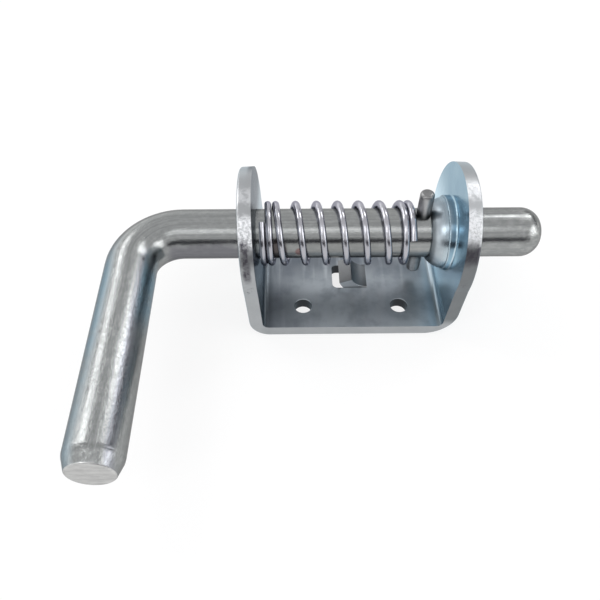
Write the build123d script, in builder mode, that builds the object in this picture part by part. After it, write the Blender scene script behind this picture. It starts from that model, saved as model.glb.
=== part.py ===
from build123d import *
import os
from math import cos, pi, radians, sin, tan

# Spring latch: a bent round bolt that slides and turns in a folded sheet bracket.
# Units are millimetres. The origin is the middle of the bracket's underside,
# X runs along the bolt towards its nose, Z is up and the handle points along -Y.

# Driving sizes of the bolt
rod_diameter = 12.7
nose_stickout = 20.4
nose_rounding = 5.2
handle_standoff = 27.55
handle_length = 65.3
bend_radius = 12.0
end_taper_length = 3.4
end_taper_depth = 1.2
end_taper_easing = 4.0
end_edge_rounding = 0.7

# Driving sizes of the bracket; its length is taken along the underside, between the sharp outside corners
sheet = 3.45
bracket_length = 53.5
ear_splay = 3.3
ear_radius = 17.9
handle_ear_drop = 1.2
side_inset = 0.25
side_step_rounding = 2.0
axis_height = 20.5
fold_inside_radius = 1.6
handle_fold_radius = 5.4
nose_fold_radius = 8.4
rim_rounding = 0.6
screw_hole_diameter = 4.8
screw_spacing_x = 25.8
screw_spacing_y = 20.9

# Collar drawn out of the sheet of the nose-side ear: thin at its rim, thicker at its root, with a step there
collar_length = 5.2
collar_rim_wall = 0.8
collar_root_wall = 2.8
collar_bulge = 0.35
collar_step_length = 1.6
collar_step_height = 0.4
collar_step_rounding = 0.3
collar_root_fillet = 0.4
drawn_mouth_fillet = 1.5

# Tab lanced out of the base and rolled up under the bolt
tab_width = 8.1
tab_root_x = 4.8
tab_angle = 70.0
tab_edge_gap = 0.15
tab_tip_gap = 1.6
slot_corner = 1.4

# Cross pin and spring
pin_diameter = 3.6
pin_length = 27.4
pin_end_rounding = 0.9
wire_diameter = 1.8
spring_turns = 9.1
ear_closed_turns = 1.6
pin_closed_turns = 1.0
spring_ground_depth = 0.45
spring_end_angle = 60.0

# Fits and gaps
running_clearance = 0.08
spring_rod_gap = 0.22
rest_gap = 0.1
pin_tab_gap = 0.25

# Sizes that follow from the ones above
rod_radius = rod_diameter / 2
bore_radius = rod_radius + running_clearance
half_length = bracket_length / 2
splay = radians(ear_splay)
lean = tan(splay)
inner_foot = half_length - sheet / cos(splay)
outer_face = half_length + lean * axis_height
inner_face = inner_foot + lean * axis_height
side_half_width = ear_radius - side_inset
blank_top = axis_height + ear_radius + sheet
collar_face = inner_face - collar_length
collar_step_x = inner_face - collar_step_length
collar_rim_height = axis_height + bore_radius + collar_rim_wall
collar_root_height = axis_height + bore_radius + collar_root_wall
collar_step_top = collar_root_height + collar_step_height
pin_radius = pin_diameter / 2
pin_x = collar_face - rest_gap - pin_radius
nose_x = outer_face + nose_stickout
handle_x = -outer_face - handle_standoff
tab_tip_height = axis_height - pin_length / 2 - pin_tab_gap
tab_inside_radius = (tab_tip_height - sheet) / (1 - cos(radians(tab_angle)))
tab_outside_radius = tab_inside_radius + sheet
tab_developed = (tab_inside_radius + sheet / 2) * radians(tab_angle)
slot_length = tab_developed + tab_tip_gap
slot_width = tab_width + 2 * tab_edge_gap
bolt_axis = Axis((0, 0, axis_height), (1, 0, 0))
bolt_plane = Plane.XY.offset(axis_height)

os.makedirs("parts", exist_ok=True)

# Outline that both ears are blanked to: a round top about the bolt and straight sides set in a little
with BuildSketch() as ear_outline:
    with Locations((0, axis_height / cos(splay))):
        Circle(ear_radius)
    Rectangle(2 * side_half_width, 2 * axis_height)
    fillet(vertices().group_by(Axis.Y)[1], side_step_rounding)

# Bracket: one blank folded into a U, with a collar and a tab formed from the same sheet
with BuildPart() as bracket:
    # the fold, seen along Y: the ears lean outwards, and the outside of each bend is drawn thinner
    with BuildSketch(Plane.XZ):
        with BuildLine():
            outside = FilletPolyline(
                (-half_length - lean * blank_top, blank_top),
                (-half_length, 0),
                (half_length, 0),
                (half_length + lean * blank_top, blank_top),
                radius=(handle_fold_radius, nose_fold_radius),
            )
            inside = FilletPolyline(
                (-inner_foot - lean * blank_top, blank_top),
                (-inner_foot - lean * sheet, sheet),
                (inner_foot + lean * sheet, sheet),
                (inner_foot + lean * blank_top, blank_top),
                radius=fold_inside_radius,
            )
            Line(outside @ 0, inside @ 0)
            Line(outside @ 1, inside @ 1)
        make_face()
    extrude(amount=2 * ear_radius, both=True)
    # both ears are trimmed to the outline, square to their own leaning faces;
    # the handle-side ear was folded a little lower
    ear_planes = []
    for side, drop in ((-1, handle_ear_drop), (1, 0)):
        ear_plane = Plane(
            origin=(side * half_length, 0, 0),
            x_dir=(0, side, 0),
            z_dir=(side * cos(splay), 0, -sin(splay)),
        )
        with BuildSketch(ear_plane):
            Rectangle(6 * ear_radius, 4 * blank_top)
            with Locations((0, -drop)):
                add(ear_outline.sketch, mode=Mode.SUBTRACT)
        extrude(amount=half_length + sheet, both=True, mode=Mode.SUBTRACT)
        ear_planes.append(ear_plane)
    # the blanking die leaves a rounded edge all along the outside of the sheet
    outside_faces = ShapeList([bracket.faces().sort_by(Axis.Z)[0]])
    outside_faces += bracket.faces().filter_by(ear_planes[0]).sort_by(Axis.X)[:1]
    outside_faces += bracket.faces().filter_by(ear_planes[1]).sort_by(Axis.X)[-1:]
    for fold_radius in (handle_fold_radius, nose_fold_radius):
        outside_faces += bracket.faces().filter_by(
            lambda face: face.geom_type == GeomType.CYLINDER and abs(face.radius - fold_radius) < 0.01
        )
    fillet(outside_faces.edges().filter_by(Axis.Y, reverse=True), rim_rounding)
    # the collar stands on the inside of the nose-side ear
    with BuildSketch(Plane.XZ):
        with BuildLine():
            SagittaArc((collar_face, collar_rim_height), (collar_step_x, collar_root_height), collar_bulge)
            Polyline(
                (collar_step_x, collar_root_height),
                (collar_step_x, collar_step_top),
                (inner_face + sheet / 2, collar_step_top),
                (inner_face + sheet / 2, axis_height),
                (collar_face, axis_height),
                (collar_face, collar_rim_height),
            )
        make_face()
        fillet(vertices().group_by(Axis.Y)[-1].sort_by(Axis.X)[0], collar_step_rounding)
    revolve(axis=bolt_axis)
    collar_root = bracket.edges().filter_by(GeomType.ELLIPSE).group_by(SortBy.LENGTH)[-1]
    fillet(collar_root, collar_root_fillet)
    # one bore through both ears, for the bolt
    with BuildSketch(Plane.YZ):
        with Locations((0, axis_height)):
            Circle(bore_radius)
    extrude(amount=bracket_length, both=True, mode=Mode.SUBTRACT)
    # drawing the collar inwards leaves a rounded mouth on the outside of that ear
    mouth = bracket.edges().filter_by(GeomType.ELLIPSE).sort_by(Axis.X)[-1]
    fillet(mouth, drawn_mouth_fillet)
    # screw holes in the base
    with BuildSketch(Plane.XY):
        with GridLocations(screw_spacing_x, screw_spacing_y, 2, 2):
            Circle(screw_hole_diameter / 2)
    extrude(amount=sheet, mode=Mode.SUBTRACT)
    # slot left by the lanced tab
    with BuildSketch(Plane.XY):
        with Locations((tab_root_x, 0)):
            Rectangle(slot_length, slot_width, align=(Align.MAX, Align.CENTER))
        fillet(vertices().group_by(Axis.X)[0], slot_corner)
    extrude(amount=sheet, mode=Mode.SUBTRACT)
    # the tab itself, rolled upwards from its root at a steady radius
    with BuildSketch(Plane.XZ):
        with BuildLine():
            tab_top = CenterArc(
                (tab_root_x, sheet + tab_inside_radius), tab_inside_radius, 270, -tab_angle
            )
            tab_under = CenterArc(
                (tab_root_x, sheet + tab_inside_radius), tab_outside_radius, 270, -tab_angle
            )
            Line(tab_top @ 0, tab_under @ 0)
            Line(tab_top @ 1, tab_under @ 1)
        make_face()
    extrude(amount=tab_width / 2, both=True)

# Bolt: one round bar with a rounded nose, bent square into a handle with a tapered end
with BuildPart() as bolt:
    with BuildLine(bolt_plane) as bar_path:
        FilletPolyline(
            (nose_x, 0),
            (handle_x, 0),
            (handle_x, -handle_length),
            radius=bend_radius,
        )
    with BuildSketch(Plane(origin=(nose_x, 0, axis_height), z_dir=(-1, 0, 0))):
        Circle(rod_radius)
    sweep(path=bar_path.wire())
    fillet(bolt.edges().sort_by(Axis.X)[-1], nose_rounding)
    end_face = bolt.faces().sort_by(Axis.Y)[0]
    chamfer(end_face.edges(), end_taper_depth, end_taper_length, reference=end_face)
    fillet(bolt.edges().filter_by(GeomType.CIRCLE).group_by(Axis.Y)[1], end_taper_easing)
    fillet(bolt.edges().filter_by(GeomType.CIRCLE).group_by(Axis.Y)[0], end_edge_rounding)
    # cross hole, a press fit for the pin
    with BuildSketch(bolt_plane):
        with Locations((pin_x, 0)):
            Circle(pin_radius)
    extrude(amount=rod_diameter, both=True, mode=Mode.SUBTRACT)

# Cross pin: a plain dowel pressed through the bolt, square to the handle
with BuildPart() as cross_pin:
    with BuildSketch(bolt_plane):
        with Locations((pin_x, 0)):
            Circle(pin_radius)
    extrude(amount=pin_length / 2, both=True)
    fillet(cross_pin.edges().filter_by(GeomType.CIRCLE), pin_end_rounding)

# Spring: right-handed, closed at both ends, from the handle-side ear to the pin
coil_radius = rod_radius + spring_rod_gap + wire_diameter / 2
spring_seat = inner_foot + lean * (axis_height - coil_radius - wire_diameter / 2)
spring_left = -spring_seat + rest_gap
spring_start = spring_left + wire_diameter / 2 - spring_ground_depth
spring_end = pin_x - pin_radius - rest_gap - wire_diameter / 2
closed_pitch = wire_diameter * 1.04
easing_turns = 0.5
points_per_turn = 16


def coil_share(turn):
    """How open the coil is at this turn: 0 where it is closed, 1 where it is fully open."""
    from_end = min(turn - ear_closed_turns, spring_turns - turn - pin_closed_turns)
    eased = min(max(from_end / easing_turns, 0.0), 1.0)
    return eased * eased * (3 - 2 * eased)


point_count = round(spring_turns * points_per_turn)
turn_step = spring_turns / point_count
open_shares = [coil_share((step + 0.5) * turn_step) for step in range(point_count)]
closed_travel = closed_pitch * spring_turns
extra_pitch = (spring_end - spring_start - closed_travel) / (sum(open_shares) * turn_step)
coil_points = []
coil_x = spring_start
for step in range(point_count + 1):
    angle = radians(spring_end_angle) + 2 * pi * (step * turn_step - spring_turns)
    coil_points.append((coil_x, -coil_radius * sin(angle), axis_height + coil_radius * cos(angle)))
    if step < point_count:
        coil_x += (closed_pitch + extra_pitch * open_shares[step]) * turn_step

with BuildPart() as spring:
    with BuildLine() as wire_path:
        Spline(*coil_points)
    with BuildSketch(Plane(origin=wire_path.wire() @ 0, z_dir=wire_path.wire() % 0)):
        Circle(wire_diameter / 2)
    sweep(path=wire_path.wire(), is_frenet=True)
    # the ear end is ground flat
    with Locations((spring_left - wire_diameter, 0, axis_height)):
        Box(2 * wire_diameter, 4 * coil_radius, 4 * coil_radius, mode=Mode.SUBTRACT)

bracket.part.label = "bracket"
bolt.part.label = "bolt"
cross_pin.part.label = "cross_pin"
spring.part.label = "spring"
export_step(bracket.part, "parts/bracket.step")
export_step(bolt.part, "parts/bolt.step")
export_step(cross_pin.part, "parts/cross_pin.step")
export_step(spring.part, "parts/spring.step")
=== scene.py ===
from math import cos, degrees, pi, radians, sin, tan

import bpy
from mathutils import Matrix, Vector


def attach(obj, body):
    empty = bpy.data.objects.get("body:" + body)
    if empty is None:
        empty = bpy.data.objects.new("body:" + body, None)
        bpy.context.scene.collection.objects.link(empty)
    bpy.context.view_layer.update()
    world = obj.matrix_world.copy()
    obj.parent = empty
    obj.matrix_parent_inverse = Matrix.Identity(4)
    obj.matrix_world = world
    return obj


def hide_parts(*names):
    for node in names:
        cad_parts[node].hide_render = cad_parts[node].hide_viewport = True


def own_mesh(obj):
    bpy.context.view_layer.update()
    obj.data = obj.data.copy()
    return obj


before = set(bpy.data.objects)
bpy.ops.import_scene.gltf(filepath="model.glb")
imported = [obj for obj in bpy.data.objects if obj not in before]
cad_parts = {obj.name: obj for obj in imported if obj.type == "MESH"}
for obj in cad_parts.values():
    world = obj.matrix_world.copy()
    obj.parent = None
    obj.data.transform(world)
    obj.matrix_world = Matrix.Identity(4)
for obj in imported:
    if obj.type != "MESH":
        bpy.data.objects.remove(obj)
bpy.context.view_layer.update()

# Sizes of the latch, in metres, as in the solids
axis_height = 0.0205
bend_radius = 0.012
handle_x = -0.055482
handle_end_y = -0.0653
half_length = 0.02675
sheet = 0.00345
ear_splay = radians(3.3)
ear_radius = 0.0179
handle_ear_drop = 0.0012
hole_x = 0.0129
hole_y = 0.01045
hole_radius = 0.0024
slot_half_width = 0.0042
slot_left = -0.004664
slot_right = 0.0048
tab_curl = radians(70.0)
tab_curl_height = 0.008161
wire_radius = 0.0009
coil_radius = 0.00747
spring_turns = 9.1
ear_closed_turns = 1.6
pin_closed_turns = 1.0
easing_turns = 0.5
spring_ground_depth = 0.00045
spring_end_angle = radians(60.0)
spring_left = -0.023893
spring_right = 0.015475
# where the handle's taper starts, measured along the bar from the start of the bend
crease_length = 0.06875
# a closed turn of the spring advances by this many wire diameters
closed_pitch = 1.04
points_per_turn = 16

# Depths of the finishes' bumps are given in microns
micron = 0.000001

# Where the sheet's finish changes, in metres: each pair runs from none of it to all of it
ear_from_middle = (0.0195, 0.0245)
# heights of the painted shade inside the handle-side ear and of the painted pale reflection low on the
# nose-side ear
ear_shade_height = (0.018, 0.028)
ear_reflection_height = (0.029, 0.018)
paler_rim_y = (0.006, -0.006)
# the base's painted shade darkens it towards the rear and on its handle side
shaded_rear_y = (-0.007, 0.006)
shaded_side_x = (-0.010, -0.019)
fold_height = (0.0080, 0.0045)
collar_from_axis = (0.0104, 0.0100)
collar_rim_x = (0.0204, 0.0196)
tab_front_y = (-0.0036, -0.0040)
# the fold and the collar lie between these distances from the middle
fold_limits = (0.0215, 0.0238)
collar_limits = (0.0185, 0.0243)

# Where the finishes of the bar and the pin change, in the same way
handle_start = (0.010, 0.024)
handle_fading = (0.034, 0.060)
nose_start = (0.038, 0.046)
upper_side = (-0.0040, 0.0010)
outer_side = (0.0016, 0.0048)
inner_side = (-0.0038, -0.0050)
pin_tip = (0.0126, 0.0135)
pin_shade_by_bar = (0.0092, 0.0068)
# the film near the bend and the violet line lie between these lengths and distances
near_bend_limits = (0.019, 0.036)
violet_limits = (-0.0050, -0.0034)

# Camera, fitted to the photograph's outlines
photo_width = 600.0
camera_target = Vector((-0.013781, -0.011955, 0.007832))
camera_distance = 0.168751
camera_azimuth = radians(-1.149)
camera_elevation = radians(51.382)
camera_roll = radians(0.42)
focal_pixels = 642.476
sensor_width = 36.0


# Node helpers
def feed(tree, socket, value):
    """Links a node's output to a socket, or sets the socket to a number or a colour."""
    if isinstance(value, bpy.types.NodeSocket):
        tree.links.new(value, socket)
    else:
        socket.default_value = value


def calc(tree, operation, first, second=0.0, clamp=False):
    """One sum on two numbers."""
    node = tree.nodes.new("ShaderNodeMath")
    node.operation = operation
    node.use_clamp = clamp
    feed(tree, node.inputs[0], first)
    feed(tree, node.inputs[1], second)
    return node.outputs[0]


def calc_all(tree, operation, numbers):
    """The same sum on one number after another."""
    result = numbers[0]
    for number in numbers[1:]:
        result = calc(tree, operation, result, number)
    return result


def times(tree, *numbers):
    """The product of the numbers."""
    return calc_all(tree, "MULTIPLY", numbers)


def plus(tree, *numbers):
    """The numbers added up."""
    return calc_all(tree, "ADD", numbers)


def most(tree, *numbers):
    """The largest of the numbers."""
    return calc_all(tree, "MAXIMUM", numbers)


def less(tree, first, second):
    """The first number less the second."""
    return calc(tree, "SUBTRACT", first, second)


def unsigned(tree, number):
    """The number without its sign."""
    return calc(tree, "ABSOLUTE", number)


def vector_calc(tree, operation, first, second=(0.0, 0.0, 0.0)):
    """One sum on two vectors. A length and a dot product come out as a number."""
    node = tree.nodes.new("ShaderNodeVectorMath")
    node.operation = operation
    feed(tree, node.inputs[0], first)
    feed(tree, node.inputs[1], second)
    gives_number = operation in ("LENGTH", "DOT_PRODUCT")
    return node.outputs["Value" if gives_number else "Vector"]


def distance(tree, point):
    """How far a point lies from the origin."""
    return vector_calc(tree, "LENGTH", point)


def fade(tree, value, start, end):
    """Rises softly from 0 where value is start to 1 where it is end."""
    node = tree.nodes.new("ShaderNodeMapRange")
    node.interpolation_type = "SMOOTHSTEP"
    feed(tree, node.inputs["Value"], value)
    node.inputs["From Min"].default_value = min(start, end)
    node.inputs["From Max"].default_value = max(start, end)
    node.inputs["To Min"].default_value = 0.0 if start < end else 1.0
    node.inputs["To Max"].default_value = 1.0 if start < end else 0.0
    return node.outputs["Result"]


def window(tree, value, low, high, soft):
    """1 where value lies between low and high, fading out over soft at both ends."""
    rising = fade(tree, value, low - soft, low + soft)
    falling = fade(tree, value, high + soft, high - soft)
    return times(tree, rising, falling)


def spread(tree, value, low, high):
    """Takes a number from 0 to 1 to the range from low to high."""
    node = tree.nodes.new("ShaderNodeMapRange")
    feed(tree, node.inputs["Value"], value)
    node.inputs["To Min"].default_value = low
    node.inputs["To Max"].default_value = high
    return node.outputs["Result"]


def place(tree, x, y, z):
    """A point from three numbers."""
    node = tree.nodes.new("ShaderNodeCombineXYZ")
    for socket, value in zip(node.inputs, (x, y, z)):
        feed(tree, socket, value)
    return node.outputs["Vector"]


def object_place(tree):
    """The point on the piece, and its x, y and z, in metres."""
    point = tree.nodes.new("ShaderNodeTexCoord").outputs["Object"]
    split = tree.nodes.new("ShaderNodeSeparateXYZ")
    tree.links.new(point, split.inputs["Vector"])
    return point, split.outputs["X"], split.outputs["Y"], split.outputs["Z"]


def grain(tree, point, scale, detail=3.0, roughness=0.5, twist=0.0):
    """Cloudy noise from 0 to 1."""
    node = tree.nodes.new("ShaderNodeTexNoise")
    tree.links.new(point, node.inputs["Vector"])
    node.inputs["Scale"].default_value = scale
    node.inputs["Detail"].default_value = detail
    node.inputs["Roughness"].default_value = roughness
    node.inputs["Distortion"].default_value = twist
    return node.outputs["Fac"]


def blend_colour(tree, share, first, second):
    """The first colour where share is 0 and the second where it is 1."""
    node = tree.nodes.new("ShaderNodeMix")
    node.data_type = "RGBA"
    feed(tree, node.inputs["Factor"], share)
    feed(tree, node.inputs[6], first)
    feed(tree, node.inputs[7], second)
    return node.outputs[2]


def blend_number(tree, share, first, second):
    """The first number where share is 0 and the second where it is 1."""
    node = tree.nodes.new("ShaderNodeMix")
    feed(tree, node.inputs["Factor"], share)
    feed(tree, node.inputs[2], first)
    feed(tree, node.inputs[3], second)
    return node.outputs[0]


def relief(tree, height, depth, below=None):
    """Bumps as deep as depth, in metres, on top of earlier bumps."""
    node = tree.nodes.new("ShaderNodeBump")
    tree.links.new(height, node.inputs["Height"])
    node.inputs["Distance"].default_value = depth
    if below is not None:
        tree.links.new(below, node.inputs["Normal"])
    return node.outputs["Normal"]


def new_finish(name):
    """A bare metal finish: the material, its node tree and its shader."""
    finish = bpy.data.materials.new(name)
    finish.use_nodes = True
    tree = finish.node_tree
    tree.nodes.clear()
    output = tree.nodes.new("ShaderNodeOutputMaterial")
    shader = tree.nodes.new("ShaderNodeBsdfPrincipled")
    shader.inputs["Metallic"].default_value = 1.0
    tree.links.new(shader.outputs["BSDF"], output.inputs["Surface"])
    return finish, tree, shader


# The folded sheet
def cut_edge(tree, left_ear, x, y, z):
    """How far a point of the sheet is on an ear's cut edge, its angle there and its depth in the sheet.

    The angle is in degrees, 0 at the front of the ear and 90 at its top.
    The depth is 0 on the ear's inner face and 1 on its outer face.
    """
    centre = less(tree, axis_height, times(tree, left_ear, handle_ear_drop))
    above = less(tree, z, centre)
    outwards = place(tree, 0.0, y, most(tree, above, 0.0))
    normal = tree.nodes.new("ShaderNodeTexCoord").outputs["Normal"]
    facing = vector_calc(tree, "DOT_PRODUCT", vector_calc(tree, "NORMALIZE", outwards), normal)
    far_out = fade(tree, distance(tree, outwards), ear_radius - 0.0025, ear_radius - 0.0015)
    edge = times(tree, far_out, fade(tree, facing, 0.35, 0.7))
    angle = times(tree, calc(tree, "ARCTAN2", above, times(tree, y, -1.0)), degrees(1.0))
    inner_face = plus(tree, times(tree, z, tan(ear_splay)), half_length - sheet)
    depth = calc(tree, "DIVIDE", less(tree, unsigned(tree, x), inner_face), sheet)
    return edge, angle, depth


def cut_edge_look(tree, point, y, left_ear, angle, depth):
    """The colour of the cut edges, how ragged they are, and their torn grain.

    An edge is smooth low down, then dark and mottled, then torn and bright as a painted highlight on its torn
    grain, and smooth again on top with patches of painted highlight.
    """
    right_ear = less(tree, 1.0, left_ear)
    torn = grain(tree, point, 1500.0, 4.0, 0.65, 0.3)
    patches = grain(tree, point, 620.0, 4.0, 0.6, 0.3)
    broad = grain(tree, point, 300.0, 3.0, 0.55)
    wavy = plus(tree, angle, spread(tree, patches, -7.0, 7.0))

    # how bright it is, partly as painted highlight, and how dark and mottled
    bright = times(tree, window(tree, wavy, 37.0, 60.0, 4.0), fade(tree, torn, 0.36, 0.56))
    top_patches = times(tree, window(tree, wavy, 71.0, 85.0, 4.0), fade(tree, patches, 0.28, 0.56))
    top_highlight = times(tree, top_patches, blend_number(tree, left_ear, 1.0, 0.5))
    middle = window(tree, plus(tree, depth, spread(tree, patches, -0.2, 0.2)), 0.30, 0.76, 0.12)
    left_dark_band = times(tree, window(tree, wavy, 9.0, 42.0, 5.0), middle, left_ear)
    right_dark_band = times(tree, window(tree, wavy, 21.0, 34.0, 4.0), right_ear)
    mottled = fade(tree, plus(tree, patches, times(tree, torn, 0.5)), 0.68, 0.86)
    dark_bands = times(tree, plus(tree, left_dark_band, right_dark_band), spread(tree, mottled, 0.98, 0.62))
    nicks = times(tree, window(tree, wavy, -7.0, 1.0, 1.5), fade(tree, torn, 0.56, 0.68))
    ragged = most(tree, bright, dark_bands, top_highlight)

    # the nose-side ear is darker low down and paler on the front half of its rim
    pale_colour = blend_colour(tree, broad, (0.36, 0.375, 0.385, 1.0), (0.45, 0.46, 0.47, 1.0))
    darker_low_colour = blend_colour(tree, broad, (0.165, 0.175, 0.18, 1.0), (0.22, 0.23, 0.236, 1.0))
    torn_highlight_colour = blend_colour(tree, torn, (0.55, 0.56, 0.58, 1.0), (0.92, 0.93, 0.95, 1.0))
    darker_low = times(tree, right_ear, window(tree, angle, -41.0, 34.0, 3.0))
    front_half = times(tree, fade(tree, angle, 30.0, 40.0), fade(tree, y, *paler_rim_y))
    toned = times(tree, right_ear, front_half, 0.6)
    paler_front_colour = blend_colour(tree, toned, pale_colour, (0.62, 0.64, 0.655, 1.0))
    smooth_colour = blend_colour(tree, darker_low, paler_front_colour, darker_low_colour)
    lit_colour = blend_colour(tree, most(tree, bright, top_highlight), smooth_colour, torn_highlight_colour)
    dark = most(tree, dark_bands, times(tree, nicks, 0.7))
    colour = blend_colour(tree, dark, lit_colour, (0.085, 0.08, 0.095, 1.0))
    return colour, ragged, torn


def hidden_walls(tree, x, y, z):
    """1 on the walls of the screw holes and of the slot, where little light reaches and painted shade darkens
    them, and 1 on the tab.
    """
    margin = 0.0001
    side_margin = 0.00008
    end_reach = 0.0015
    below_top = fade(tree, z, sheet - margin, sheet - 5.0 * margin)
    across = unsigned(tree, y)
    from_hole = place(tree, less(tree, unsigned(tree, x), hole_x), less(tree, across, hole_y), 0.0)
    in_hole = calc(tree, "LESS_THAN", distance(tree, from_hole), hole_radius + margin)
    in_slot = times(
        tree,
        calc(tree, "LESS_THAN", across, slot_half_width + margin),
        calc(tree, "GREATER_THAN", x, slot_left - margin),
        calc(tree, "LESS_THAN", x, slot_right),
    )
    at_side = calc(tree, "GREATER_THAN", across, slot_half_width - side_margin)
    at_end = calc(tree, "LESS_THAN", x, slot_left + end_reach)
    slot_wall = times(tree, in_slot, most(tree, at_side, at_end))
    tab = calc(tree, "SUBTRACT", in_slot, slot_wall, clamp=True)
    walls = times(tree, most(tree, in_hole, slot_wall), below_top)
    return walls, tab


def base_film(tree, point, x, y, cloudy):
    """The film of the base: painted light in front, painted shade behind and on its handle side, with streaks
    and blotches.
    """
    front = blend_colour(tree, cloudy, (0.55, 0.60, 0.635, 1.0), (0.445, 0.49, 0.53, 1.0))
    shaded_rear = blend_colour(tree, cloudy, (0.20, 0.22, 0.245, 1.0), (0.15, 0.17, 0.195, 1.0))
    shaded = blend_colour(tree, fade(tree, y, *shaded_rear_y), front, shaded_rear)
    shaded_side = times(tree, fade(tree, x, *shaded_side_x), 0.5)
    shade_dimmed = blend_colour(tree, shaded_side, shaded, (0.19, 0.21, 0.24, 1.0))
    streaks = grain(tree, place(tree, x, times(tree, y, 0.12), 0.0), 380.0, 2.0, 0.5)
    streaked = blend_colour(tree, fade(tree, streaks, 0.48, 0.85), shade_dimmed, (0.50, 0.54, 0.57, 1.0))
    blotches = grain(tree, point, 230.0, 5.0, 0.6)
    blotchy = times(tree, fade(tree, blotches, 0.44, 0.70), 0.30)
    return blend_colour(tree, blotchy, streaked, (0.15, 0.175, 0.21, 1.0))


def ear_film(tree, z, cloudy, left_ear, shaded):
    """The film of the ears: grey on the handle side with painted shade high up on its inside, blue on the
    nose side with a painted pale reflection low down there.
    """
    grey = blend_colour(tree, cloudy, (0.37, 0.40, 0.42, 1.0), (0.29, 0.32, 0.345, 1.0))
    dim_grey = blend_colour(tree, cloudy, (0.30, 0.32, 0.34, 1.0), (0.24, 0.26, 0.28, 1.0))
    left_film = blend_colour(tree, shaded, grey, dim_grey)
    blue = blend_colour(tree, cloudy, (0.35, 0.465, 0.535, 1.0), (0.28, 0.395, 0.48, 1.0))
    reflected_pale_blue = blend_colour(tree, cloudy, (0.74, 0.88, 0.95, 1.0), (0.62, 0.78, 0.88, 1.0))
    right_film = blend_colour(tree, fade(tree, z, *ear_reflection_height), blue, reflected_pale_blue)
    return blend_colour(tree, left_ear, right_film, left_film)


def collar_film(tree, x, y, z, film):
    """The film with the drawn collar on it, which is duller than its ear and has a dark rim."""
    from_axis = distance(tree, place(tree, 0.0, y, less(tree, z, axis_height)))
    between = window(tree, x, *collar_limits, 0.0002)
    on_collar = times(tree, between, fade(tree, from_axis, *collar_from_axis))
    darkened = blend_colour(tree, times(tree, on_collar, 0.32), film, (0.19, 0.215, 0.235, 1.0))
    on_rim = times(tree, on_collar, fade(tree, x, *collar_rim_x))
    return blend_colour(tree, times(tree, on_rim, 0.55), darkened, (0.06, 0.07, 0.075, 1.0))


def tab_film(tree, x, y, z, cloudy):
    """The film of the tab: painted shade in its hollow, painted light on its front side, and grey at its tip.
    """
    hollow = blend_colour(tree, cloudy, (0.15, 0.16, 0.17, 1.0), (0.10, 0.11, 0.12, 1.0))
    sided = blend_colour(tree, fade(tree, y, *tab_front_y), hollow, (0.52, 0.53, 0.54, 1.0))
    curl = calc(tree, "ARCTAN2", less(tree, slot_right, x), less(tree, tab_curl_height, z))
    tip = fade(tree, curl, tab_curl - 0.035, tab_curl - 0.015)
    return blend_colour(tree, tip, sided, (0.20, 0.205, 0.21, 1.0))


def plated_sheet_finish():
    """Bright zinc with a blue film on the folded sheet, and a torn grain on the cut edges of the ears."""
    finish, tree, shader = new_finish("plated_sheet")
    point, x, y, z = object_place(tree)
    from_middle = unsigned(tree, x)
    left_ear = calc(tree, "LESS_THAN", x, 0.0)
    on_ear = fade(tree, from_middle, *ear_from_middle)
    in_fold = times(tree, window(tree, from_middle, *fold_limits, 0.0012), fade(tree, z, *fold_height))
    walls, tab = hidden_walls(tree, x, y, z)
    edge, angle, depth = cut_edge(tree, left_ear, x, y, z)
    edge_colour, edge_ragged, torn = cut_edge_look(tree, point, y, left_ear, angle, depth)
    # painted shade: the upper inside of the handle-side ear is dimmer
    shaded = times(tree, left_ear, fade(tree, z, *ear_shade_height), fade(tree, depth, 0.5, 0.2))

    # the film is bluer on the ears than on the base, and painted shade darkens the folds and the hidden walls
    clouds = grain(tree, point, 110.0, 4.0, 0.55)
    cloudy = fade(tree, clouds, 0.3, 0.7)
    on_base = base_film(tree, point, x, y, cloudy)
    on_ears = ear_film(tree, z, cloudy, left_ear, shaded)
    flat = blend_colour(tree, on_ear, on_base, on_ears)
    folded = blend_colour(tree, times(tree, in_fold, 0.6), flat, (0.10, 0.12, 0.14, 1.0))
    with_collar = collar_film(tree, x, y, z, folded)
    with_tab = blend_colour(tree, tab, with_collar, tab_film(tree, x, y, z, cloudy))
    with_wall_shade = blend_colour(tree, walls, with_tab, (0.035, 0.037, 0.04, 1.0))
    tree.links.new(blend_colour(tree, edge, with_wall_shade, edge_colour), shader.inputs["Base Color"])
    # painted shade: a lower specular tint makes the upper inside of the handle-side ear reflect less at
    # grazing angles
    sheen = blend_colour(tree, shaded, (0.74, 0.82, 0.87, 1.0), (0.34, 0.37, 0.40, 1.0))
    tree.links.new(sheen, shader.inputs["Specular Tint"])

    base_rough = spread(tree, clouds, 0.31, 0.41)
    ear_rough = spread(tree, clouds, 0.14, 0.24)
    film_rough = blend_number(tree, on_ear, base_rough, ear_rough)
    hollow_rough = times(tree, plus(tree, tab, in_fold), 0.12)
    ragged = times(tree, edge, edge_ragged)
    edge_rough = plus(tree, times(tree, edge, 0.12), times(tree, ragged, 0.15))
    tree.links.new(plus(tree, film_rough, hollow_rough, edge_rough), shader.inputs["Roughness"])

    # rolling lines of the sheet run from one ear to the other
    along = plus(tree, from_middle, z)
    lines = grain(tree, place(tree, times(tree, along, 0.06), y, 0.0), 1700.0, 3.0, 0.6)
    speckle = grain(tree, point, 2600.0, 2.0, 0.6)
    peel = relief(tree, speckle, 4.0 * micron)
    rolled = relief(tree, times(tree, lines, less(tree, 1.0, on_ear)), 3.0 * micron, peel)
    tree.links.new(relief(tree, times(tree, ragged, torn), 80.0 * micron, rolled), shader.inputs["Normal"])
    return finish


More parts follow.
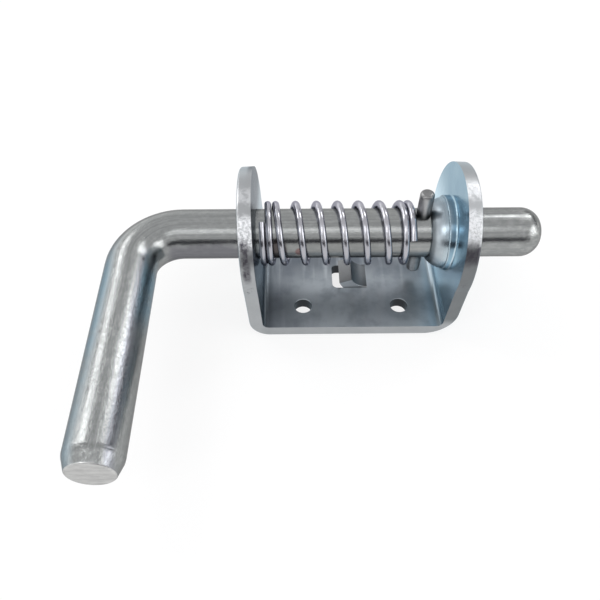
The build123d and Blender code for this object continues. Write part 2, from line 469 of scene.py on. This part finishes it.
# The bar, the pin and the wire
def bar_directions(tree, x, y, z):
    """The bar's own directions: outwards from the bend, up, and along it from the run to the handle."""
    run_end = handle_x + bend_radius
    past_run = most(tree, less(tree, run_end, x), 0.0)
    past_handle = most(tree, plus(tree, y, bend_radius), 0.0)
    outward = less(tree, distance(tree, place(tree, past_run, past_handle, 0.0)), bend_radius)
    upward = less(tree, z, axis_height)
    bend_length = times(tree, calc(tree, "ARCTAN2", past_run, past_handle), bend_radius)
    run_length = most(tree, less(tree, x, run_end), 0.0)
    handle_length = most(tree, less(tree, -bend_radius, y), 0.0)
    length = plus(tree, less(tree, bend_length, run_length), handle_length)
    return outward, upward, length


def along_bar(tree, directions, stretch):
    """A point in the bar's own directions, for a pattern that is drawn out where stretch is small."""
    outward, upward, length = directions
    return place(tree, outward, upward, times(tree, length, stretch))


def flank_film(tree, directions, on_handle, clouds):
    """How blue the film is along the flanks of the handle, the inner one only near the bend."""
    outward, upward, length = directions
    near_share = spread(tree, fade(tree, length, *handle_fading), 1.0, 0.55)
    upper_share = spread(tree, fade(tree, upward, *upper_side), 0.4, 1.0)
    outer_flank = times(tree, on_handle, near_share, upper_share, fade(tree, outward, *outer_side))
    near_bend = window(tree, length, *near_bend_limits, 0.006)
    inner_flank = times(tree, near_bend, fade(tree, outward, *inner_side))
    return times(tree, most(tree, outer_flank, inner_flank), fade(tree, clouds, 0.05, 0.6))


def stain(tree, point, centre, reach, clouds):
    """1 inside a ragged spot round centre that reaches so far along x, y and z, 0 outside it."""
    offset = vector_calc(tree, "SUBTRACT", point, centre)
    span = distance(tree, vector_calc(tree, "DIVIDE", offset, reach))
    ragged = plus(tree, span, spread(tree, clouds, -0.5, 0.5))
    return fade(tree, ragged, 1.2, 0.7)


def shaded_and_stained(tree, point, clouds, colour):
    """The colour with painted shade along the lower front of the run, and small brown and red stains where
    the spring rubs against it.
    """
    # painted shade darkens the lower front of the run beside the handle-side ear and inside the spring
    darker_low = stain(tree, point, (-0.0355, -0.0062, 0.0192), (0.0130, 0.0040, 0.0048), clouds)
    darkened = blend_colour(tree, times(tree, darker_low, 0.6), colour, (0.11, 0.105, 0.13, 1.0))
    shade_in_spring = stain(tree, point, (-0.0080, -0.0062, 0.0196), (0.0220, 0.0040, 0.0045), clouds)
    shade_dimmed = blend_colour(tree, times(tree, shade_in_spring, 0.3), darkened, (0.11, 0.11, 0.108, 1.0))
    # the brown and red spots are rust stains
    brown = stain(tree, point, (-0.0192, -0.0062, 0.0205), (0.0022, 0.0030, 0.0040), clouds)
    browned = blend_colour(tree, times(tree, brown, 0.85), shade_dimmed, (0.055, 0.043, 0.042, 1.0))
    red = stain(tree, point, (-0.0139, -0.0063, 0.0203), (0.0011, 0.0015, 0.0013), clouds)
    return blend_colour(tree, times(tree, red, 0.7), browned, (0.20, 0.10, 0.095, 1.0))


def plated_bar_finish():
    """Drawn bar under bright zinc: lines along its length that follow the bend."""
    finish, tree, shader = new_finish("plated_bar")
    point, x, y, z = object_place(tree)
    directions = bar_directions(tree, x, y, z)
    outward, _, length = directions
    on_handle = fade(tree, length, *handle_start)
    on_nose = fade(tree, x, *nose_start)
    end_face = fade(tree, y, handle_end_y + 0.0004, handle_end_y + 0.0001)

    drawn_point = along_bar(tree, directions, 0.012)
    lines = grain(tree, drawn_point, 1900.0, 4.0, 0.65)
    broad_lines = grain(tree, drawn_point, 520.0, 3.0, 0.6)
    bar_point = along_bar(tree, directions, 1.0)
    clouds = grain(tree, bar_point, 130.0, 4.0, 0.55)
    speckle = grain(tree, bar_point, 2400.0, 2.0, 0.6)
    dents = grain(tree, bar_point, 420.0, 2.0, 0.5)
    pitting = grain(tree, along_bar(tree, directions, 0.45), 2300.0, 4.0, 0.7)
    spots = grain(tree, along_bar(tree, directions, 0.6), 900.0, 4.0, 0.62)
    sawn = grain(tree, place(tree, times(tree, x, 0.25), 0.0, z), 900.0, 4.0, 0.65)

    # a crease runs round the start of the taper, and painted shade darkens it
    wavy_length = plus(tree, length, spread(tree, dents, -0.00012, 0.00012))
    ring = window(tree, wavy_length, crease_length - 0.0002, crease_length + 0.0002, 0.0002)
    crease = times(tree, ring, fade(tree, dents, 0.42, 0.58))

    # light spots all over, closer together on the nose, where they also stand as a painted highlight, then
    # the films, a violet painted reflection, the painted shade and the stains, the crease's painted shade and
    # the sawn end
    lined = blend_colour(
        tree, fade(tree, lines, 0.3, 0.7), (0.265, 0.275, 0.274, 1.0), (0.335, 0.345, 0.342, 1.0)
    )
    spots_and_highlight = times(tree, fade(tree, spots, 0.42, 0.68), spread(tree, on_nose, 0.10, 0.30))
    with_spots_and_highlight = blend_colour(tree, spots_and_highlight, lined, (0.70, 0.71, 0.70, 1.0))
    # painted reflection: a violet tint laid along the dark band that the handle's inner flank reflects
    violet = times(tree, on_handle, window(tree, outward, *violet_limits, 0.0006), 0.45)
    tinted = blend_colour(tree, violet, with_spots_and_highlight, (0.24, 0.25, 0.305, 1.0))
    blue = flank_film(tree, directions, on_handle, clouds)
    filmed = blend_colour(tree, blue, tinted, (0.25, 0.36, 0.43, 1.0))
    # painted shade on the lower front of the run, and rust stains
    toned = shaded_and_stained(tree, point, clouds, filmed)
    crease_shaded = blend_colour(tree, times(tree, crease, 0.12), toned, (0.12, 0.12, 0.125, 1.0))
    sawn_colour = blend_colour(
        tree, fade(tree, sawn, 0.3, 0.7), (0.53, 0.53, 0.525, 1.0), (0.71, 0.71, 0.70, 1.0)
    )
    tree.links.new(blend_colour(tree, end_face, crease_shaded, sawn_colour), shader.inputs["Base Color"])
    shader.inputs["Specular Tint"].default_value = (0.5, 0.5, 0.5, 1.0)

    rough = plus(tree, spread(tree, clouds, 0.12, 0.20), times(tree, lines, 0.08), times(tree, end_face, 0.2))
    tree.links.new(rough, shader.inputs["Roughness"])

    # the run is smoother than the handle and the nose
    worn = spread(tree, most(tree, on_handle, on_nose), 0.35, 1.0)
    peel = relief(tree, speckle, 4.0 * micron)
    fine = relief(tree, times(tree, lines, worn), 9.0 * micron, peel)
    broad = relief(tree, times(tree, broad_lines, worn), 7.0 * micron, fine)
    knocks = relief(tree, times(tree, dents, worn), 9.0 * micron, broad)
    pits = relief(tree, times(tree, fade(tree, pitting, 0.42, 0.62), worn), 13.0 * micron, knocks)
    ringed = relief(tree, less(tree, 1.0, crease), 20.0 * micron, pits)
    sawn_marks = relief(tree, times(tree, sawn, end_face), 30.0 * micron, ringed)
    tree.links.new(sawn_marks, shader.inputs["Normal"])
    return finish


def pin_finish():
    """Dull ground steel, darker at the pin's ends, with painted shade next to the bar."""
    finish, tree, shader = new_finish("pin_steel")
    point, _, _, z = object_place(tree)
    clouds = grain(tree, point, 420.0, 4.0, 0.6)
    speckle = grain(tree, point, 3000.0, 3.0, 0.6)
    from_axis = unsigned(tree, less(tree, z, axis_height))
    ground = blend_colour(
        tree, fade(tree, clouds, 0.35, 0.7), (0.42, 0.425, 0.43, 1.0), (0.27, 0.27, 0.27, 1.0)
    )
    at_tip = times(tree, fade(tree, from_axis, *pin_tip), 0.6)
    tipped = blend_colour(tree, at_tip, ground, (0.15, 0.15, 0.15, 1.0))
    # painted shade next to the bar
    shade_by_bar = times(tree, fade(tree, from_axis, *pin_shade_by_bar), 0.8)
    tree.links.new(blend_colour(tree, shade_by_bar, tipped, (0.07, 0.075, 0.075, 1.0)), shader.inputs["Base Color"])
    tree.links.new(spread(tree, clouds, 0.30, 0.46), shader.inputs["Roughness"])
    tree.links.new(relief(tree, speckle, 10.0 * micron), shader.inputs["Normal"])
    shader.inputs["Specular Tint"].default_value = (0.5, 0.5, 0.5, 1.0)
    return finish


def plated_wire_finish():
    """Bright zinc on drawn spring wire, with lines along the wire."""
    finish, tree, shader = new_finish("plated_wire")
    wire_map = tree.nodes.new("ShaderNodeUVMap")
    wire_map.uv_map = "UVMap"
    split = tree.nodes.new("ShaderNodeSeparateXYZ")
    tree.links.new(wire_map.outputs["UV"], split.inputs["Vector"])
    wire_length = spring_turns * 2.0 * pi * coil_radius
    along = times(tree, split.outputs["X"], wire_length)
    around = times(tree, split.outputs["Y"], 2.0 * pi)
    side = times(tree, calc(tree, "SINE", around), wire_radius)
    top = times(tree, calc(tree, "COSINE", around), wire_radius)
    lines = grain(tree, place(tree, side, top, times(tree, along, 0.03)), 3600.0, 3.0, 0.6)
    clouds = grain(tree, place(tree, side, top, along), 240.0, 3.0, 0.5)
    colour = blend_colour(tree, clouds, (0.40, 0.40, 0.435, 1.0), (0.50, 0.50, 0.535, 1.0))
    tree.links.new(colour, shader.inputs["Base Color"])
    rough = plus(tree, spread(tree, clouds, 0.13, 0.24), times(tree, lines, 0.05))
    tree.links.new(rough, shader.inputs["Roughness"])
    tree.links.new(relief(tree, lines, 4.0 * micron), shader.inputs["Normal"])
    shader.inputs["Specular Tint"].default_value = (0.5, 0.5, 0.56, 1.0)
    return finish


# The spring: one wire wound right-handed, closed at both ends
def open_share(turn):
    """How open the coil is at this turn: 0 where it is closed, 1 where it is fully open."""
    from_end = min(turn - ear_closed_turns, spring_turns - turn - pin_closed_turns)
    eased = min(max(from_end / easing_turns, 0.0), 1.0)
    return eased * eased * (3.0 - 2.0 * eased)


def wind_spring():
    """The spring's wire as a curve, turned into a mesh and ground flat at its ear end."""
    count = round(spring_turns * points_per_turn) + 1
    turn_step = spring_turns / (count - 1)
    bpy.ops.object.select_all(action="DESELECT")
    bpy.ops.curve.primitive_nurbs_path_add()
    wire = bpy.context.object
    wire.name = "wound_spring"
    curve = wire.data
    curve.splines.clear()
    spline = curve.splines.new("NURBS")
    spline.points.add(count - 1)
    # control points stand a little outside the coil that they make
    control_radius = coil_radius * 3.0 / (2.0 + cos(2.0 * pi * turn_step))
    closed_step = 2.0 * wire_radius * closed_pitch * turn_step
    shares = [open_share((step + 0.5) * turn_step) for step in range(count - 1)]
    along = spring_left + wire_radius - spring_ground_depth
    run = spring_right - wire_radius - along
    open_step = (run - closed_step * (count - 1)) / sum(shares)
    for step, control in enumerate(spline.points):
        angle = spring_end_angle + 2.0 * pi * (step * turn_step - spring_turns)
        across = -control_radius * sin(angle)
        up = axis_height + control_radius * cos(angle)
        control.co = (along, across, up, 1.0)
        if step < count - 1:
            along += closed_step + open_step * shares[step]
    spline.order_u = 4
    spline.use_endpoint_u = True
    spline.resolution_u = 4
    curve.dimensions = "3D"
    curve.bevel_depth = wire_radius
    curve.bevel_resolution = 5
    curve.use_fill_caps = True
    bpy.ops.object.convert(target="MESH")
    # the ear end is ground flat
    bpy.ops.object.mode_set(mode="EDIT")
    bpy.ops.mesh.select_all(action="SELECT")
    bpy.ops.mesh.bisect(
        plane_co=(spring_left, 0.0, axis_height),
        plane_no=(1.0, 0.0, 0.0),
        use_fill=True,
        clear_inner=True,
    )
    bpy.ops.object.mode_set(mode="OBJECT")
    bpy.ops.object.shade_smooth_by_angle(angle=radians(50.0))
    return bpy.context.object


spring = wind_spring()
spring.data.materials.clear()
spring.data.materials.append(plated_wire_finish())
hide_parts("spring")
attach(spring, "spring")
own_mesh(spring)

# The other three pieces keep the solids' meshes
node_finishes = {
    "bracket": plated_sheet_finish(),
    "bolt": plated_bar_finish(),
    "cross_pin": pin_finish(),
}
for node_name, finish in node_finishes.items():
    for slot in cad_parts[node_name].material_slots:
        slot.material = finish


# Stage: a pale floor, a soft dome, six soft boxes and two dark cards
def pale_floor():
    """A wide white table that shows as white and keeps the latch's soft shadow."""
    bpy.ops.object.select_all(action="DESELECT")
    bpy.ops.mesh.primitive_plane_add(size=6.0, location=(0.0, 0.0, 0.0))
    floor = bpy.context.object
    floor.name = "floor"
    material = bpy.data.materials.new("pale_floor")
    material.use_nodes = True
    tree = material.node_tree
    tree.nodes.clear()
    output = tree.nodes.new("ShaderNodeOutputMaterial")
    paper = tree.nodes.new("ShaderNodeBsdfDiffuse")
    paper.inputs["Color"].default_value = (0.92, 0.92, 0.92, 1.0)
    white = tree.nodes.new("ShaderNodeEmission")
    white.inputs["Strength"].default_value = 1.0
    rays = tree.nodes.new("ShaderNodeLightPath").outputs
    seen = most(tree, rays["Is Camera Ray"], rays["Is Glossy Ray"], rays["Is Transmission Ray"])
    mix = tree.nodes.new("ShaderNodeMixShader")
    tree.links.new(times(tree, seen, 0.8), mix.inputs["Fac"])
    tree.links.new(paper.outputs["BSDF"], mix.inputs[1])
    tree.links.new(white.outputs["Emission"], mix.inputs[2])
    tree.links.new(mix.outputs["Shader"], output.inputs["Surface"])
    floor.data.materials.append(material)


def soft_dome():
    """A plain studio: pale near the horizon, brighter on the handle's side, and grey overhead."""
    world = bpy.data.worlds.new("studio")
    bpy.context.scene.world = world
    world.use_nodes = True
    tree = world.node_tree
    tree.nodes.clear()
    output = tree.nodes.new("ShaderNodeOutputWorld")
    background = tree.nodes.new("ShaderNodeBackground")
    direction = tree.nodes.new("ShaderNodeTexCoord").outputs["Generated"]
    split = tree.nodes.new("ShaderNodeSeparateXYZ")
    tree.links.new(direction, split.inputs["Vector"])
    height = fade(tree, split.outputs["Z"], 0.05, 0.55)
    leftwards = fade(tree, split.outputs["X"], 0.3, -0.6)
    horizon = blend_colour(tree, leftwards, (1.0, 1.0, 1.0, 1.0), (1.75, 1.75, 1.75, 1.0))
    dome = blend_colour(tree, height, horizon, (0.82, 0.82, 0.83, 1.0))
    tree.links.new(dome, background.inputs["Color"])
    tree.links.new(background.outputs["Background"], output.inputs["Surface"])


def soft_box(name, centre, aim, width, length, power):
    """A rectangular lamp at centre that faces aim, its length level."""
    bpy.ops.object.select_all(action="DESELECT")
    bpy.ops.object.light_add(type="AREA")
    lamp = bpy.context.object
    lamp.name = name
    lamp.data.shape = "RECTANGLE"
    lamp.data.size = length
    lamp.data.size_y = width
    lamp.data.energy = power
    lamp.visible_camera = False
    away = (Vector(centre) - Vector(aim)).normalized()
    lamp.location = Vector(centre)
    lamp.rotation_mode = "QUATERNION"
    lamp.rotation_quaternion = away.to_track_quat("Z", "Y")


def dark_card(name, centre, width, height):
    """A dark card that stands out of the picture and gives the round bar its dark band."""
    bpy.ops.object.select_all(action="DESELECT")
    bpy.ops.mesh.primitive_plane_add(size=1.0)
    card = bpy.context.object
    card.name = name
    facing = -Vector((centre[0], centre[1], 0.0)).normalized()
    turn = facing.to_track_quat("Z", "Y").to_matrix().to_4x4()
    card.matrix_world = Matrix.Translation(Vector(centre)) @ turn @ Matrix.Diagonal((width, height, 1.0, 1.0))
    card.visible_camera = False
    material = bpy.data.materials.new(name)
    material.use_nodes = True
    shader = material.node_tree.nodes["Principled BSDF"]
    shader.inputs["Base Color"].default_value = (0.04, 0.04, 0.05, 1.0)
    shader.inputs["Roughness"].default_value = 0.9
    card.data.materials.append(material)


pale_floor()
soft_dome()
# three lamps stand in an arc over the handle's line, behind the latch
lamp_reach = 0.87
for lamp_name, lamp_angle, lamp_y, lamp_width, lamp_length, lamp_power in (
    ("right_soft_box", radians(48.0), 0.52, 0.50, 0.24, 1.55),
    ("left_soft_box", radians(128.0), 0.60, 0.26, 0.80, 2.0),
    ("left_low_box", radians(134.0), 0.27, 0.66, 0.15, 0.70),
):
    lamp_x = handle_x + lamp_reach * cos(lamp_angle)
    lamp_z = axis_height + lamp_reach * sin(lamp_angle)
    lamp_aim = (handle_x, lamp_y, axis_height)
    soft_box(lamp_name, (lamp_x, lamp_y, lamp_z), lamp_aim, lamp_width, lamp_length, lamp_power)
# three more stand in front of it and face the bolt
bolt_middle = (0.0, 0.0, axis_height)
soft_box("left_front_box", (-0.48, -0.52, 0.71), bolt_middle, 0.34, 0.34, 1.2)
soft_box("right_front_box", (0.88, -0.30, 0.44), bolt_middle, 0.50, 0.60, 2.1)
soft_box("overhead_box", (0.0, -0.50, 0.87), bolt_middle, 0.30, 0.70, 0.64)
dark_card("front_dark_card", (0.0, -0.8, 0.15), 1.4, 0.32)
dark_card("right_dark_card", (0.66, 0.46, 0.295), 0.8, 0.27)


def photo_camera():
    """The photograph's camera: its place, its roll and its lens."""
    back = Vector((
        sin(camera_azimuth) * cos(camera_elevation),
        -cos(camera_azimuth) * cos(camera_elevation),
        sin(camera_elevation),
    ))
    level_right = (-back).cross(Vector((0.0, 0.0, 1.0))).normalized()
    level_up = level_right.cross(-back)
    right = cos(camera_roll) * level_right + sin(camera_roll) * level_up
    up = cos(camera_roll) * level_up - sin(camera_roll) * level_right
    bpy.ops.object.camera_add()
    camera = bpy.context.object
    camera.name = "photo_camera"
    turn = Matrix((right, up, back)).transposed().to_4x4()
    camera.matrix_world = Matrix.Translation(camera_target + camera_distance * back) @ turn
    camera.data.sensor_width = sensor_width
    camera.data.lens = sensor_width * focal_pixels / photo_width
    camera.data.clip_start = 0.01
    camera.data.clip_end = 20.0
    bpy.context.scene.camera = camera


photo_camera()
bpy.context.scene.view_settings.view_transform = "Standard"
